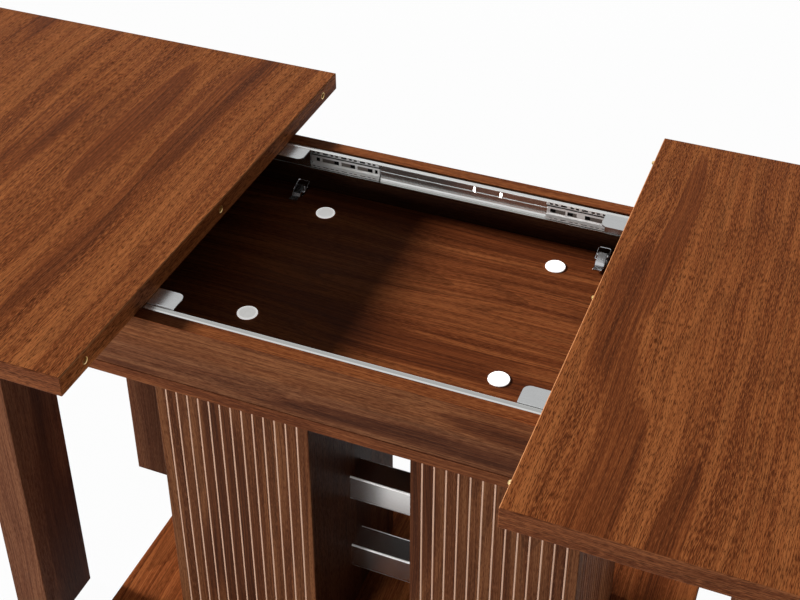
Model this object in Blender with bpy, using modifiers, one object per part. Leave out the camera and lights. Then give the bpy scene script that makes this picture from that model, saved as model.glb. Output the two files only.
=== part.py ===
"""Extending dining table: two top halves run on ball-bearing slides over a leaf tray.

The halves stand drawn apart, as when the leaf is fetched from the tray. The tray rests on two
fluted columns joined by steel bars, and on four legs. X runs along the table, Y to the back,
Z up from the floor, and the origin is on the floor under the middle of the gap.
"""

from math import acos, atan2, ceil, cos, pi, sin, tan

import bmesh
import bpy

# Clearances
SEAT = 0.0003
RUN_GAP = 0.0005
TOP_GAP = 0.0008

# Table top
TABLE_HEIGHT = 0.758
TOP_WIDTH = 0.800
TOP_THICK = 0.029
HALF_LENGTH = 0.700
OPEN_GAP = 0.544
TOP_EDGE = 0.0014

# Dowels that line the halves up
PIN_RADIUS = 0.0038
PIN_OUT = 0.0062
PIN_TIP = 0.0048
PIN_IN = 0.020
PIN_INSET = 0.053
SOCKET_RADIUS = 0.0055
SOCKET_BORE = 0.0044
SOCKET_MOUTH = 0.0005
SOCKET_DEPTH = 0.016

# Tray under the top
TRAY_MIDDLE = 0.004
TRAY_LENGTH = 1.150
TRAY_DEPTH = 0.482
RAIL_THICK = 0.020
RAIL_HEIGHT = 0.0945
RAIL_SEAM = 0.0012
BOARD_THICK = 0.0184
FLOOR_THICK = 0.0245
END_THICK = 0.020
END_HEIGHT = 0.054

# Columns, bars, base plate and legs
COLUMN_GAP = 0.151
COLUMN_WIDTH = 0.240
COLUMN_DEPTH = 0.310
COLUMN_WALL = 0.018
COLUMN_EDGE = 0.001
FLUTES = 13
SIDE_FLUTES = 16
FLUTE_WIDTH = 0.003
FLUTE_DEPTH = 0.0015
BAR_DEPTH = 0.044
BAR_HEIGHT = 0.048
BAR_WALL = 0.003
BAR_CORNER = 0.003
BAR_LOW = 0.108
BAR_PITCH = 0.152
BASE_MARGIN = 0.1325
BASE_DEPTH = 0.500
BASE_THICK = 0.018
LEG_WIDTH = 0.060
LEG_DEPTH = 0.113
BOARD_EDGE = 0.001

# Ball-bearing slides, let into the rails
SLIDE_HEIGHT = 0.036
SLIDE_DEPTH = 0.0104
SLIDE_WALL = 0.0015
SLIDE_LIP = 0.0026
SLIDE_LIP_BEND = 0.0016
SLIDE_INSET = 0.015
TAB_FIRST = 0.031
TAB_SECOND = 0.072
TAB_WIDTH = 0.004
TAB_HEIGHT = 0.007
TAB_DROP = 0.010
TAB_RISE = 0.003

# Ball cages inside the slides
CAGE_GAP = 0.0008
CAGE_WALL = 0.001
CAGE_DEPTH = 0.0057
CAGE_HEIGHT = 0.0202
CAGE_LIP = 0.0044
CAGE_LENGTH = 0.190
CAGE_START_LEFT = 0.121
CAGE_START_RIGHT = 0.143
CAGE_SLOT_HEIGHT = 0.005
CAGE_SLOT_FIRST = 0.005
CAGE_SLOT_LENGTHS = (0.023, 0.014, 0.026)
CAGE_SLOT_BARS = (0.003, 0.012)

# Carriages that run in the slides and carry the halves
TONGUE_GAP = 0.0006
TONGUE_BACK_GAP = 0.0012
TONGUE_WALL = 0.0015
CARRIAGE_WALL = 0.002
CARRIAGE_DROP = 0.030
CARRIAGE_AHEAD = 0.0397
CARRIAGE_INSET = 0.0077
FLANGE_REACH = 0.033
FLANGE_CORNER = 0.0095

# Runners screwed under the halves, hooked round the carriage flanges
RUNNER_WALL = 0.002
RUNNER_PLATE = 0.0156
RUNNER_HOOK = 0.0134
RUNNER_SIDE_GAP = 0.001
RUNNER_INSET = 0.018
RUNNER_LENGTH = 0.400

# Pads on which the stored leaf rests
PAD_RADIUS = 0.0145
PAD_HEIGHT = 0.0012
PAD_EDGE = 0.0004
PAD_X = 0.181
PAD_REAR = 0.153
PAD_FRONT = -0.105

# Draw latches at the back of the tray
LATCH_X = 0.240
LATCH_WALL_GAP = 0.0044
LATCH_AXIS = 0.0095
LATCH_PLATE = 0.0012
LATCH_LENGTH = 0.024
EAR_RADIUS = 0.0032
LEVER_WIDTH = 0.013
LEVER_THICK = 0.0046
LEVER_ROUND = 0.0014
LEVER_BACK = 0.005
LEVER_RISE = 0.0033
LEVER_NECK = 0.016
LEVER_NECK_DROP = 0.0017
LEVER_DIP = 0.0185
LEVER_SAG = 0.005
LEVER_REACH = 0.031
LEVER_DROP = 0.0044
LEVER_TIP = 0.0016
LEVER_CRANK = 0.008
LEVER_CRANK_DROP = 0.0021
TRUNNION_RADIUS = 0.0012
BAIL_WIRE = 0.0009
BAIL_LENGTH = 0.0235
BAIL_TILT = 0.30
BAIL_BEND = 0.003

# Pads and latches sit this far along from the table's middle
FITTING_SHIFT = -0.003

# Levels and faces worked out from the sizes above
ARC_STEP = pi / 8
ROUND_SIDES = 20
SAME_PLACE = 1e-6
half_gap = OPEN_GAP / 2
under_top = TABLE_HEIGHT - TOP_THICK
rail_top = under_top - TOP_GAP
rail_foot = rail_top - RAIL_HEIGHT
board_foot = rail_foot - SEAT - BOARD_THICK
post_top = board_foot - SEAT
floor_top = rail_foot + FLOOR_THICK
tray_half = TRAY_LENGTH / 2
tray_side = TRAY_DEPTH / 2
slide_back = tray_side - RAIL_THICK - SEAT
slide_front = slide_back - SLIDE_DEPTH
slide_half = tray_half - SLIDE_INSET
column_inner = COLUMN_GAP / 2
column_outer = column_inner + COLUMN_WIDTH
pin_level = TABLE_HEIGHT - TOP_THICK / 2

LEFT, RIGHT = -1, 1
FRONT, REAR = -1, 1
SIDES = {"left": LEFT, "right": RIGHT}
ENDS = {"front": FRONT, "rear": REAR}


def new_collection(name):
    """Make a collection in the scene."""
    collection = bpy.data.collections.new(name)
    bpy.context.scene.collection.children.link(collection)
    return collection


def new_material(name, colour, roughness, metallic):
    """Make a Principled material from an 8-bit screen colour."""
    material = bpy.data.materials.new(name)
    material.use_nodes = True
    shader = material.node_tree.nodes["Principled BSDF"]
    linear = [(channel / 255) ** 2.2 for channel in colour]
    shader.inputs["Base Color"].default_value = (*linear, 1.0)
    shader.inputs["Roughness"].default_value = roughness
    shader.inputs["Metallic"].default_value = metallic
    return material


def new_empty(name, location):
    """Make an empty that carries the pieces of one moving group."""
    empty = bpy.data.objects.new(name, None)
    empty.location = location
    TABLE.objects.link(empty)
    return empty


def add(name, mesh, material, location, parent, collection=None):
    """Link a mesh as a named object at a place in the room, under its parent."""
    obj = bpy.data.objects.new(name, mesh)
    obj.parent = parent
    shift = parent.location if parent else (0, 0, 0)
    obj.location = [place - move for place, move in zip(location, shift)]
    (collection or TABLE).objects.link(obj)
    if material:
        mesh.materials.append(material)
    return obj


def finish(bm, name):
    """Turn a bmesh into a mesh with its faces pointing out."""
    bmesh.ops.recalc_face_normals(bm, faces=bm.faces)
    mesh = bpy.data.meshes.new(name)
    bm.to_mesh(mesh)
    bm.free()
    return mesh


def box(name, low, high, material, parent=None, collection=None):
    """Make a block between two opposite corners, with its origin in its middle."""
    bm = bmesh.new()
    bmesh.ops.create_cube(bm, size=1.0)
    bmesh.ops.scale(bm, verts=bm.verts, vec=[b - a for a, b in zip(low, high)])
    middle = [(a + b) / 2 for a, b in zip(low, high)]
    return add(name, finish(bm, name), material, middle, parent, collection)


def ordered(axis, across, up, along):
    """Put two coordinates of an outline and one along its axis into X, Y, Z order."""
    return {"X": (along, across, up), "Y": (across, along, up), "Z": (across, up, along)}[axis]


def prism_bmesh(outline, axis, start, stop):
    """Sweep a closed outline straight along an axis."""
    bm = bmesh.new()
    face = bm.faces.new([bm.verts.new(ordered(axis, a, b, start)) for a, b in outline])
    swept = bmesh.ops.extrude_face_region(bm, geom=[face])["geom"]
    moved = [item for item in swept if isinstance(item, bmesh.types.BMVert)]
    bmesh.ops.translate(bm, verts=moved, vec=ordered(axis, 0, 0, stop - start))
    return bm


def prism(name, outline, axis, start, stop, material, parent=None, origin=(0, 0, 0), collection=None):
    """Make a straight bar from a closed outline; all of it is measured from the origin."""
    bm = prism_bmesh(outline, axis, start, stop)
    return add(name, finish(bm, name), material, origin, parent, collection)


def rounded(corners, closed=True):
    """Return a path through (across, up, radius) corners with arcs at the rounded ones."""
    path = []
    count = len(corners)
    for index, (across, up, radius) in enumerate(corners):
        if radius <= 0 or (not closed and index in (0, count - 1)):
            path.append((across, up))
            continue
        before = corners[index - 1]
        after = corners[(index + 1) % count]
        path += corner_arc((across, up), before, after, radius)
    return without_doubles(path)


def corner_arc(corner, before, after, radius):
    """Return the points of an arc that is tangent to both sides of a corner."""
    from_angle = atan2(before[1] - corner[1], before[0] - corner[0])
    to_angle = atan2(after[1] - corner[1], after[0] - corner[0])
    opening = acos(max(-1.0, min(1.0, cos(to_angle - from_angle))))
    middle = from_angle + (to_angle - from_angle + pi) % (2 * pi) / 2 - pi / 2
    centre_reach = radius / sin(opening / 2)
    centre = (corner[0] + centre_reach * cos(middle), corner[1] + centre_reach * sin(middle))
    tangent = radius / tan(opening / 2)
    first = (corner[0] + tangent * cos(from_angle), corner[1] + tangent * sin(from_angle))
    begin = atan2(first[1] - centre[1], first[0] - centre[0])
    turn = pi - opening
    sense = 1 if sin(to_angle - from_angle) < 0 else -1
    steps = max(1, ceil(turn / ARC_STEP))
    angles = [begin + sense * turn * step / steps for step in range(steps + 1)]
    return [(centre[0] + radius * cos(a), centre[1] + radius * sin(a)) for a in angles]


def without_doubles(path):
    """Drop points that repeat the one before them."""
    kept = []
    for point in path:
        if not kept or abs(point[0] - kept[-1][0]) + abs(point[1] - kept[-1][1]) > SAME_PLACE:
            kept.append(point)
    return kept


def sheet(name, path, wall, start, stop, material, parent=None):
    """Make bent sheet metal: a path swept along X as an open surface, given its wall."""
    bm = bmesh.new()
    row = [bm.verts.new((start, across, up)) for across, up in path]
    edges = [bm.edges.new(pair) for pair in zip(row, row[1:])]
    swept = bmesh.ops.extrude_edge_only(bm, edges=edges)["geom"]
    moved = [item for item in swept if isinstance(item, bmesh.types.BMVert)]
    bmesh.ops.translate(bm, verts=moved, vec=(stop - start, 0, 0))
    obj = add(name, finish(bm, name), material, (0, 0, 0), parent)
    shell = obj.modifiers.new("Wall", "SOLIDIFY")
    shell.thickness = wall
    shell.offset = 0.0
    shell.use_even_offset = True
    return obj


def turned(name, profile, material, location, parent=None, rotation=(0, 0, 0), closed=False):
    """Turn a (radius, height) profile, listed from the top down, round its own Z axis."""
    mesh = bpy.data.meshes.new(name)
    links = [(n, n + 1) for n in range(len(profile) - 1)]
    if closed:
        links.append((len(profile) - 1, 0))
    mesh.from_pydata([(radius, 0, height) for radius, height in profile], links, [])
    obj = add(name, mesh, material, location, parent)
    obj.rotation_euler = rotation
    screw = obj.modifiers.new("Turn", "SCREW")
    screw.steps = ROUND_SIDES
    screw.render_steps = ROUND_SIDES
    screw.use_merge_vertices = True
    screw.merge_threshold = SAME_PLACE
    return obj


def rod(name, radius, start, stop, material, parent=None, origin=(0, 0, 0), collection=None):
    """Make a round bar along X."""
    turns = [2 * pi * n / ROUND_SIDES for n in range(ROUND_SIDES)]
    circle = [(radius * cos(a), radius * sin(a)) for a in turns]
    return prism(name, circle, "X", start, stop, material, parent, origin, collection)


def soften(obj, width):
    """Break the sharp edges of a block."""
    edge = obj.modifiers.new("Edge", "BEVEL")
    edge.width = width
    edge.segments = 2
    edge.limit_method = "ANGLE"
    return obj


def boolean(obj, other, operation):
    """Cut or join an object with a helper body that is kept as a wire cutter."""
    other.hide_render = True
    other.display_type = "WIRE"
    change = obj.modifiers.new(other.name, "BOOLEAN")
    change.operation = operation
    change.object = other
    return obj


def at_rail(profile, end):
    """Turn (in from the slide's back, above the rail) pairs into Y and Z at one rail."""
    return [(TRAY_MIDDLE + end * (slide_back - u), rail_top + v) for u, v in profile]


def make_halves():
    """Build both top halves with bevelled edges."""
    for side_name, side in SIDES.items():
        inner, outer = side * half_gap, side * (half_gap + HALF_LENGTH)
        low = (min(inner, outer), -TOP_WIDTH / 2, under_top)
        high = (max(inner, outer), TOP_WIDTH / 2, TABLE_HEIGHT)
        half = box(f"top_{side_name}", low, high, WALNUT_TOP, HALVES[side_name])
        soften(half, TOP_EDGE)
        hole_radius = (SOCKET_RADIUS if side == LEFT else PIN_RADIUS) + SEAT
        hole_depth = (SOCKET_DEPTH if side == LEFT else PIN_IN) + SEAT
        for name, place in dowel_places().items():
            start, stop = sorted((-side * TOP_EDGE, side * hole_depth))
            origin = (inner, place, pin_level)
            hole = rod(f"hole_{side_name}_{name}", hole_radius, start, stop, None, None, origin, CUTTERS)
            boolean(half, hole, "DIFFERENCE")


def dowel_places():
    """Return the Y places of the three dowels."""
    edge = TOP_WIDTH / 2 - PIN_INSET
    return {"front": -edge, "middle": 0.0, "rear": edge}


def make_dowels():
    """Build the brass pins of the right half and the brass sockets of the left half."""
    tip = [(PIN_RADIUS * sin(a), PIN_OUT - PIN_TIP * (1 - cos(a)))
           for a in (pi / 2 * n / 4 for n in range(5))]
    pin = tip + [(PIN_RADIUS, -PIN_IN), (0, -PIN_IN)]
    ring = [(SOCKET_BORE + SOCKET_MOUTH, 0), (SOCKET_RADIUS, 0), (SOCKET_RADIUS, -SOCKET_DEPTH),
            (SOCKET_BORE, -SOCKET_DEPTH), (SOCKET_BORE, -SOCKET_MOUTH)]
    for name, place in dowel_places().items():
        turned(f"pin_{name}", pin, BRASS, (half_gap, place, pin_level), HALVES["right"], (0, -pi / 2, 0))
        turned(f"socket_{name}", ring, BRASS, (-half_gap, place, pin_level), HALVES["left"],
               (0, pi / 2, 0), closed=True)


def make_tray():
    """Build the rails, with a rebate for the slides, and the boards between them."""
    rebate = SLIDE_HEIGHT + 2 * SEAT
    thick = RAIL_THICK + SEAT + SLIDE_DEPTH
    for end_name, end in ENDS.items():
        section = [(0, 0), (RAIL_THICK, 0), (RAIL_THICK, -rebate), (thick, -rebate),
                   (thick, -RAIL_HEIGHT), (RAIL_SEAM, -RAIL_HEIGHT), (0, RAIL_SEAM - RAIL_HEIGHT)]
        outline = [(TRAY_MIDDLE + end * (tray_side - u), rail_top + v) for u, v in section]
        prism(f"rail_{end_name}", outline, "X", -tray_half, tray_half, WALNUT_TRAY)
    inside = slide_front - SEAT
    front, back = TRAY_MIDDLE - inside, TRAY_MIDDLE + inside
    run = tray_half - END_THICK
    board = box("bottom_board", (-tray_half, TRAY_MIDDLE - tray_side, board_foot),
                (tray_half, TRAY_MIDDLE + tray_side, board_foot + BOARD_THICK), WALNUT_TRAY)
    soften(board, BOARD_EDGE)
    box("floor_panel", (SEAT - run, front, rail_foot), (run - SEAT, back, floor_top), WALNUT_TRAY)
    for side_name, side in SIDES.items():
        near, far = sorted((side * run, side * tray_half))
        end_rail = box(f"end_rail_{side_name}", (near, front, rail_foot),
                       (far, back, rail_foot + END_HEIGHT), WALNUT_TRAY)
        soften(end_rail, BOARD_EDGE)


def fluted_board(start, stop, flutes, edge):
    """Return a column board's plan as (along, in from its face), with upright grooves in the face."""
    pitch = (stop - start) / (flutes + 1)
    half = FLUTE_WIDTH / 2
    plan = [(start, edge), (start + edge, 0)]
    for number in range(1, flutes + 1):
        middle = start + number * pitch
        near, far = middle - half, middle + half
        plan += [(near, 0), (near, FLUTE_DEPTH), (far, FLUTE_DEPTH), (far, 0)]
    plan += [(stop - edge, 0), (stop, edge), (stop, COLUMN_WALL), (start, COLUMN_WALL)]
    return without_doubles(plan)


def make_columns():
    """Build the two box columns, plain only where they face each other, and the bars between them."""
    foot = BASE_THICK + SEAT
    side_reach = COLUMN_DEPTH / 2 - COLUMN_WALL - SEAT
    faces = {"inner": (column_inner, 1, 0), "outer": (column_outer, -1, SIDE_FLUTES)}
    for side_name, side in SIDES.items():
        for end_name, end in ENDS.items():
            face_y = TRAY_MIDDLE + end * COLUMN_DEPTH / 2
            plan = fluted_board(column_inner, column_outer, FLUTES, COLUMN_EDGE)
            outline = [(side * along, face_y - end * deep) for along, deep in plan]
            prism(f"column_{end_name}_{side_name}", outline, "Z", foot, post_top, WALNUT_COLUMN)
        for face_name, (face_x, inward, flutes) in faces.items():
            plan = fluted_board(TRAY_MIDDLE - side_reach, TRAY_MIDDLE + side_reach, flutes, 0)
            outline = [(side * (face_x + inward * deep), along) for along, deep in plan]
            prism(f"column_{face_name}_{side_name}", outline, "Z", foot, post_top, WALNUT_COLUMN)
    for name, low in {"lower": BAR_LOW, "upper": BAR_LOW + BAR_PITCH}.items():
        make_bar(f"bar_{name}", low)


def make_bar(name, low):
    """Build one square tube with rounded corners, open at its ends."""
    reach = column_inner - SEAT
    front, back = TRAY_MIDDLE - BAR_DEPTH / 2, TRAY_MIDDLE + BAR_DEPTH / 2
    corners = [(front, low), (back, low), (back, low + BAR_HEIGHT), (front, low + BAR_HEIGHT)]
    outline = rounded([(y, z, BAR_CORNER) for y, z in corners])
    tube = prism(name, outline, "X", -reach, reach, STEEL_BAR)
    bore = box(f"{name}_bore", (-column_inner, front + BAR_WALL, low + BAR_WALL),
               (column_inner, back - BAR_WALL, low + BAR_HEIGHT - BAR_WALL), None, None, CUTTERS)
    boolean(tube, bore, "DIFFERENCE")


def make_feet():
    """Build the base plate under the columns and the four legs at the tray's corners."""
    base_half = column_outer + BASE_MARGIN
    base = box("base_plate", (-base_half, TRAY_MIDDLE - BASE_DEPTH / 2, 0),
               (base_half, TRAY_MIDDLE + BASE_DEPTH / 2, BASE_THICK), WALNUT_BASE)
    soften(base, BOARD_EDGE)
    for side_name, side in SIDES.items():
        for end_name, end in ENDS.items():
            x_near, x_far = sorted((side * (tray_half - LEG_WIDTH), side * tray_half))
            y_near, y_far = sorted((end * (tray_side - LEG_DEPTH), end * tray_side))
            leg = box(f"leg_{end_name}_{side_name}", (x_near, TRAY_MIDDLE + y_near, 0),
                      (x_far, TRAY_MIDDLE + y_far, post_top), WALNUT_BASE)
            soften(leg, BOARD_EDGE)


def make_slides():
    """Build the fixed C channels: rounded corners are the ball races, and pressed ramps stop the cages."""
    middle = SLIDE_WALL / 2
    nose = SLIDE_DEPTH - middle
    race = SLIDE_DEPTH - SLIDE_WALL - SLIDE_LIP_BEND
    upper = [(nose, -SLIDE_LIP, 0), (nose, -middle, SLIDE_LIP_BEND), (middle, -middle, race)]
    lower = [(u, -SLIDE_HEIGHT - v, radius) for u, v, radius in reversed(upper)]
    path = rounded(upper + lower, closed=False)
    for end_name, end in ENDS.items():
        channel = sheet(f"slide_{end_name}", at_rail(path, end), SLIDE_WALL,
                        -slide_half, slide_half, STEEL_SLIDE)
        for number, place in enumerate((TAB_FIRST, TAB_SECOND)):
            section = [(middle, -TAB_DROP), (SLIDE_WALL, -TAB_DROP),
                       (SLIDE_WALL + TAB_RISE, -TAB_DROP - TAB_HEIGHT), (middle, -TAB_DROP - TAB_HEIGHT)]
            tab = prism(f"tab_{end_name}_{number}", at_rail(section, end), "X", place - TAB_WIDTH / 2,
                        place + TAB_WIDTH / 2, None, collection=CUTTERS)
            boolean(channel, tab, "UNION")


def make_cages():
    """Build the slotted strips that hold the balls apart, with lips that stand in front of the races."""
    back = SLIDE_WALL + CAGE_GAP
    front = back + CAGE_DEPTH
    top = (CAGE_HEIGHT - SLIDE_HEIGHT) / 2
    upper = [(back, top), (front - CAGE_WALL, top), (front - CAGE_WALL, top + CAGE_LIP),
             (front, top + CAGE_LIP), (front, top - CAGE_WALL), (back + CAGE_WALL, top - CAGE_WALL)]
    lower = [(u, -SLIDE_HEIGHT - v) for u, v in reversed(upper)]
    section = upper + lower
    slot_level = rail_top - SLIDE_HEIGHT / 2
    for side_name, side in SIDES.items():
        start = CAGE_START_LEFT if side == LEFT else CAGE_START_RIGHT
        for end_name, end in ENDS.items():
            name = f"cage_{end_name}_{side_name}"
            first, last = sorted((side * start, side * (start + CAGE_LENGTH)))
            cage = prism(name, at_rail(section, end), "X", first, last, STEEL_CAGE)
            plate = sorted(TRAY_MIDDLE + end * (slide_back - u) for u in (SLIDE_WALL, back + 2 * CAGE_WALL))
            place = start + CAGE_SLOT_FIRST
            for number, length in enumerate(CAGE_SLOT_LENGTHS):
                near, far = sorted((side * place, side * (place + length)))
                slot = box(f"{name}_slot_{number}", (near, plate[0], slot_level - CAGE_SLOT_HEIGHT / 2),
                           (far, plate[1], slot_level + CAGE_SLOT_HEIGHT / 2), None, None, CUTTERS)
                boolean(cage, slot, "DIFFERENCE")
                place += length + (CAGE_SLOT_BARS + (0,))[number]


def make_carriages():
    """Build the running members: a tongue in the channel and a flange under the half."""
    flange_top = TOP_GAP - SEAT
    leg_back = SLIDE_DEPTH + RUN_GAP
    leg_front = leg_back + CARRIAGE_WALL
    flange_end = SLIDE_DEPTH + FLANGE_REACH
    tongue_back = SLIDE_WALL + CAGE_GAP + CAGE_WALL + TONGUE_BACK_GAP
    tongue_half = CAGE_HEIGHT / 2 - CAGE_WALL - TONGUE_GAP
    middle = -SLIDE_HEIGHT / 2
    upper, lower = middle + tongue_half, middle - tongue_half
    web = leg_back - TONGUE_WALL
    section = [(leg_back, flange_top, CARRIAGE_WALL), (flange_end, flange_top, 0),
               (flange_end, flange_top - CARRIAGE_WALL, 0), (leg_front, flange_top - CARRIAGE_WALL, 0),
               (leg_front, -CARRIAGE_DROP, 0), (leg_back, -CARRIAGE_DROP, 0), (leg_back, lower, 0),
               (tongue_back, lower, 0), (tongue_back, lower + TONGUE_WALL, 0), (web, lower + TONGUE_WALL, 0),
               (web, upper - TONGUE_WALL, 0), (tongue_back, upper - TONGUE_WALL, 0), (tongue_back, upper, 0),
               (leg_back, upper, 0)]
    outline = rounded(section)
    start, stop = half_gap - CARRIAGE_AHEAD, slide_half - CARRIAGE_INSET
    for side_name, side in SIDES.items():
        for end_name, end in ENDS.items():
            bm = prism_bmesh(at_rail(outline, end), "X", side * start, side * stop)
            corner = at_rail([(flange_end, flange_top)], end)[0]
            round_flange(bm, side * start, corner[0])
            name = f"carriage_{end_name}_{side_name}"
            add(name, finish(bm, name), STEEL_CARRIAGE, (0, 0, 0), None)


def round_flange(bm, x, y):
    """Round the free inner corner of a carriage flange."""
    edges = [edge for edge in bm.edges
             if all(abs(v.co.x - x) < SAME_PLACE and abs(v.co.y - y) < SAME_PLACE for v in edge.verts)]
    bmesh.ops.bevel(bm, geom=edges, offset=FLANGE_CORNER, segments=5, profile=0.5, affect="EDGES")


def make_runners():
    """Build the hooked strips that hold the halves down on the carriage flanges."""
    plate_top = TOP_GAP - SEAT
    plate_foot = plate_top - RUNNER_WALL
    hook_top = plate_top - CARRIAGE_WALL - RUN_GAP
    near = SLIDE_DEPTH + FLANGE_REACH + RUNNER_SIDE_GAP
    section = [(near, plate_top), (near + RUNNER_PLATE, plate_top), (near + RUNNER_PLATE, plate_foot),
               (near + RUNNER_WALL, plate_foot), (near + RUNNER_WALL, hook_top - RUNNER_WALL),
               (near - RUNNER_SIDE_GAP - RUNNER_HOOK, hook_top - RUNNER_WALL),
               (near - RUNNER_SIDE_GAP - RUNNER_HOOK, hook_top), (near, hook_top)]
    start = half_gap + RUNNER_INSET
    for side_name, side in SIDES.items():
        for end_name, end in ENDS.items():
            parent = HALVES[side_name]
            shift = parent.location.x
            near_x, far_x = sorted((side * start - shift, side * (start + RUNNER_LENGTH) - shift))
            prism(f"runner_{end_name}_{side_name}", at_rail(section, end), "X", near_x, far_x,
                  STEEL_CARRIAGE, parent, (shift, 0, 0))


def make_pads():
    """Build the four discs on the tray floor."""
    edge = [(PAD_RADIUS - PAD_EDGE + PAD_EDGE * sin(a), PAD_HEIGHT - PAD_EDGE + PAD_EDGE * cos(a))
            for a in (pi / 2 * n / 3 for n in range(4))]
    profile = [(0, PAD_HEIGHT)] + edge + [(PAD_RADIUS, 0), (0, 0)]
    for side_name, side in SIDES.items():
        for end_name, place in {"front": PAD_FRONT, "rear": PAD_REAR}.items():
            turned(f"pad_{end_name}_{side_name}", profile, PAD_PLASTIC,
                   (FITTING_SHIFT + side * PAD_X, TRAY_MIDDLE + place, floor_top + SEAT))


def make_latches():
    """Build the draw latches: an eared plate, a lever on its trunnions and a wire bail."""
    wall = TRAY_MIDDLE + slide_front
    pivot_y = wall - LATCH_WALL_GAP - BAIL_LENGTH * cos(BAIL_TILT)
    axis_z = floor_top + SEAT + LATCH_AXIS
    for side_name, side in SIDES.items():
        middle = FITTING_SHIFT + side * LATCH_X
        axis = (middle, pivot_y + LEVER_CRANK, axis_z)
        pivot = (middle, pivot_y, axis_z - LEVER_CRANK_DROP)
        make_latch_base(f"latch_base_{side_name}", axis)
        lever = make_lever(f"lever_{side_name}", axis, pivot)
        make_bail(f"bail_{side_name}", pivot, lever)


def make_latch_base(name, axis):
    """Build the latch's floor plate with an ear on each side for the trunnions."""
    ear_inner = LEVER_WIDTH / 2 + SEAT
    ear_outer = ear_inner + LATCH_PLATE
    foot = -LATCH_AXIS
    half = LATCH_LENGTH / 2
    plate_top = foot + LATCH_PLATE
    plate_outline = [(-half, foot), (half, foot), (half, plate_top), (-half, plate_top)]
    plate = prism(name, plate_outline, "X", -ear_outer, ear_outer, LATCH_STEEL, None, axis)
    crown = [(EAR_RADIUS * cos(a), EAR_RADIUS * sin(a)) for a in (pi * n / 8 for n in range(9))]
    ear_outline = crown + [(-EAR_RADIUS - LATCH_PLATE, foot + LATCH_PLATE / 2),
                           (EAR_RADIUS + LATCH_PLATE, foot + LATCH_PLATE / 2)]
    for side_name, side in SIDES.items():
        near, far = sorted((side * ear_inner, side * ear_outer))
        ear = prism(f"{name}_ear_{side_name}", ear_outline, "X", near, far, None, None, axis, CUTTERS)
        boolean(plate, ear, "UNION")
    reach = ear_outer + LATCH_PLATE
    eye = rod(f"{name}_eye", TRUNNION_RADIUS + SEAT, -reach, reach, None, None, axis, CUTTERS)
    boolean(plate, eye, "DIFFERENCE")


def make_lever(name, axis, pivot):
    """Build the sloping lever with a stepped thumb end, its trunnions and the holes for the bail."""
    back = [(LEVER_BACK, LEVER_RISE - LEVER_THICK, LEVER_ROUND), (LEVER_BACK, LEVER_RISE, LEVER_ROUND)]
    upper = [(-LEVER_NECK, -LEVER_NECK_DROP, LEVER_ROUND), (-LEVER_DIP, -LEVER_SAG, LEVER_ROUND),
             (-LEVER_REACH, -LEVER_DROP, 0)]
    lower = [(-LEVER_REACH, -LEVER_DROP - LEVER_TIP, 0), (-LEVER_DIP, -LEVER_SAG - LEVER_TIP, LEVER_ROUND),
             (-LEVER_NECK, -LEVER_NECK_DROP - LEVER_THICK, 0)]
    width = LEVER_WIDTH / 2
    lever = prism(name, rounded(back + upper + lower), "X", -width, width, LATCH_STEEL, None, axis)
    reach = width + SEAT + LATCH_PLATE
    trunnion = rod(f"{name}_trunnion", TRUNNION_RADIUS, -reach, reach, None, None, axis, CUTTERS)
    boolean(lever, trunnion, "UNION")
    hole = rod(f"{name}_hole", BAIL_WIRE + SEAT, -reach, reach, None, None, pivot, CUTTERS)
    boolean(lever, hole, "DIFFERENCE")
    return lever


def make_bail(name, pivot, lever):
    """Build the wire loop that the lever draws tight, tilted up, with its origin on its own pivot."""
    arm = LEVER_WIDTH / 2 + 2 * SEAT + LATCH_PLATE + BAIL_WIRE
    end = LEVER_WIDTH / 4
    far = BAIL_LENGTH - BAIL_WIRE
    path = rounded([(-end, 0, 0), (-arm, 0, BAIL_WIRE), (-arm, far, BAIL_BEND), (arm, far, BAIL_BEND),
                    (arm, 0, BAIL_WIRE), (end, 0, 0)], closed=False)
    wire = bpy.data.curves.new(name, "CURVE")
    wire.dimensions = "3D"
    wire.bevel_depth = BAIL_WIRE
    wire.bevel_resolution = 2
    wire.use_fill_caps = True
    spline = wire.splines.new("POLY")
    spline.points.add(len(path) - 1)
    for point, (across, along) in zip(spline.points, path):
        point.co = (across, along * cos(BAIL_TILT), along * sin(BAIL_TILT), 1)
    bail = bpy.data.objects.new(name, wire)
    bail.parent = lever
    bail.location = [a - b for a, b in zip(pivot, lever.location)]
    wire.materials.append(LATCH_STEEL)
    TABLE.objects.link(bail)


for old in list(bpy.data.objects):
    bpy.data.objects.remove(old)
TABLE = new_collection("Extending dining table")
CUTTERS = new_collection("Cutters")

WALNUT_TOP = new_material("walnut_top", (125, 72, 40), 0.4, 0.0)
WALNUT_TRAY = new_material("walnut_tray", (104, 62, 41), 0.45, 0.0)
WALNUT_COLUMN = new_material("walnut_column", (110, 68, 45), 0.45, 0.0)
WALNUT_BASE = new_material("walnut_base", (96, 58, 40), 0.45, 0.0)
STEEL_BAR = new_material("steel_bar", (190, 186, 182), 0.25, 1.0)
STEEL_SLIDE = new_material("steel_slide", (196, 194, 192), 0.3, 1.0)
STEEL_CAGE = new_material("steel_cage", (150, 144, 138), 0.35, 1.0)
STEEL_CARRIAGE = new_material("steel_carriage", (205, 203, 200), 0.35, 1.0)
LATCH_STEEL = new_material("latch_steel", (200, 196, 192), 0.28, 1.0)
BRASS = new_material("brass", (190, 150, 90), 0.3, 1.0)
PAD_PLASTIC = new_material("pad_plastic", (236, 233, 228), 0.5, 0.0)

HALVES = {name: new_empty(f"half_{name}", (side * half_gap, 0, under_top)) for name, side in SIDES.items()}

make_halves()
make_dowels()
make_tray()
make_columns()
make_feet()
make_slides()
make_cages()
make_carriages()
make_runners()
make_pads()
make_latches()
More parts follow.
